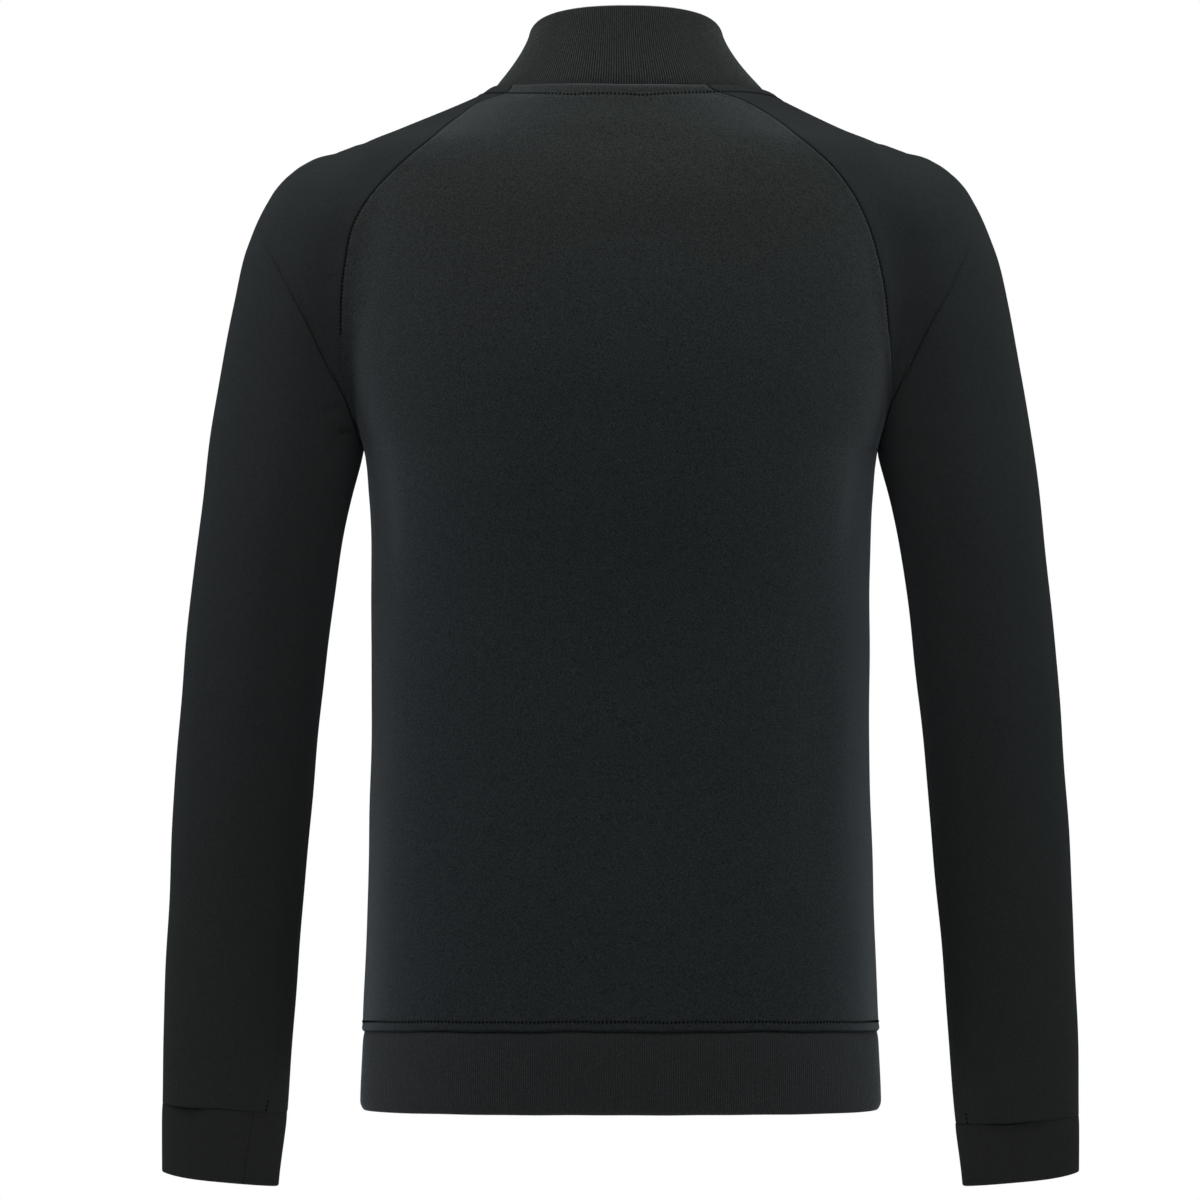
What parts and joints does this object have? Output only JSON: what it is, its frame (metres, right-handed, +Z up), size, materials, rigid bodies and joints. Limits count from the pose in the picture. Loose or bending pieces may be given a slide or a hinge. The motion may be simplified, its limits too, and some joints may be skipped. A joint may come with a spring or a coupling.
{
  "type": "raglan sweatshirt",
  "caption": "Plain long-sleeved raglan sweatshirt with a ribbed stand collar, hem band and cuffs, hollow, as worn with the arms hanging.",
  "frame": {"origin": "middle of the neck opening, about level with the back of the neck seam", "axes": "+Z up, the front faces -Y, the wearer's left is +X"},
  "size_m": [0.6292, 0.244, 0.803],
  "materials": {
    "knit": "smooth black sweatshirt knit with a soft sheen",
    "rib": "fine black one-by-one rib"
  },
  "bodies": {
    "root": {"back": "knit", "front": "knit", "sleeve_left": "knit", "sleeve_right": "knit", "collar": "rib", "hem_band": "rib", "cuff_left": "rib", "cuff_right": "rib"}
  },
  "joints": []
}
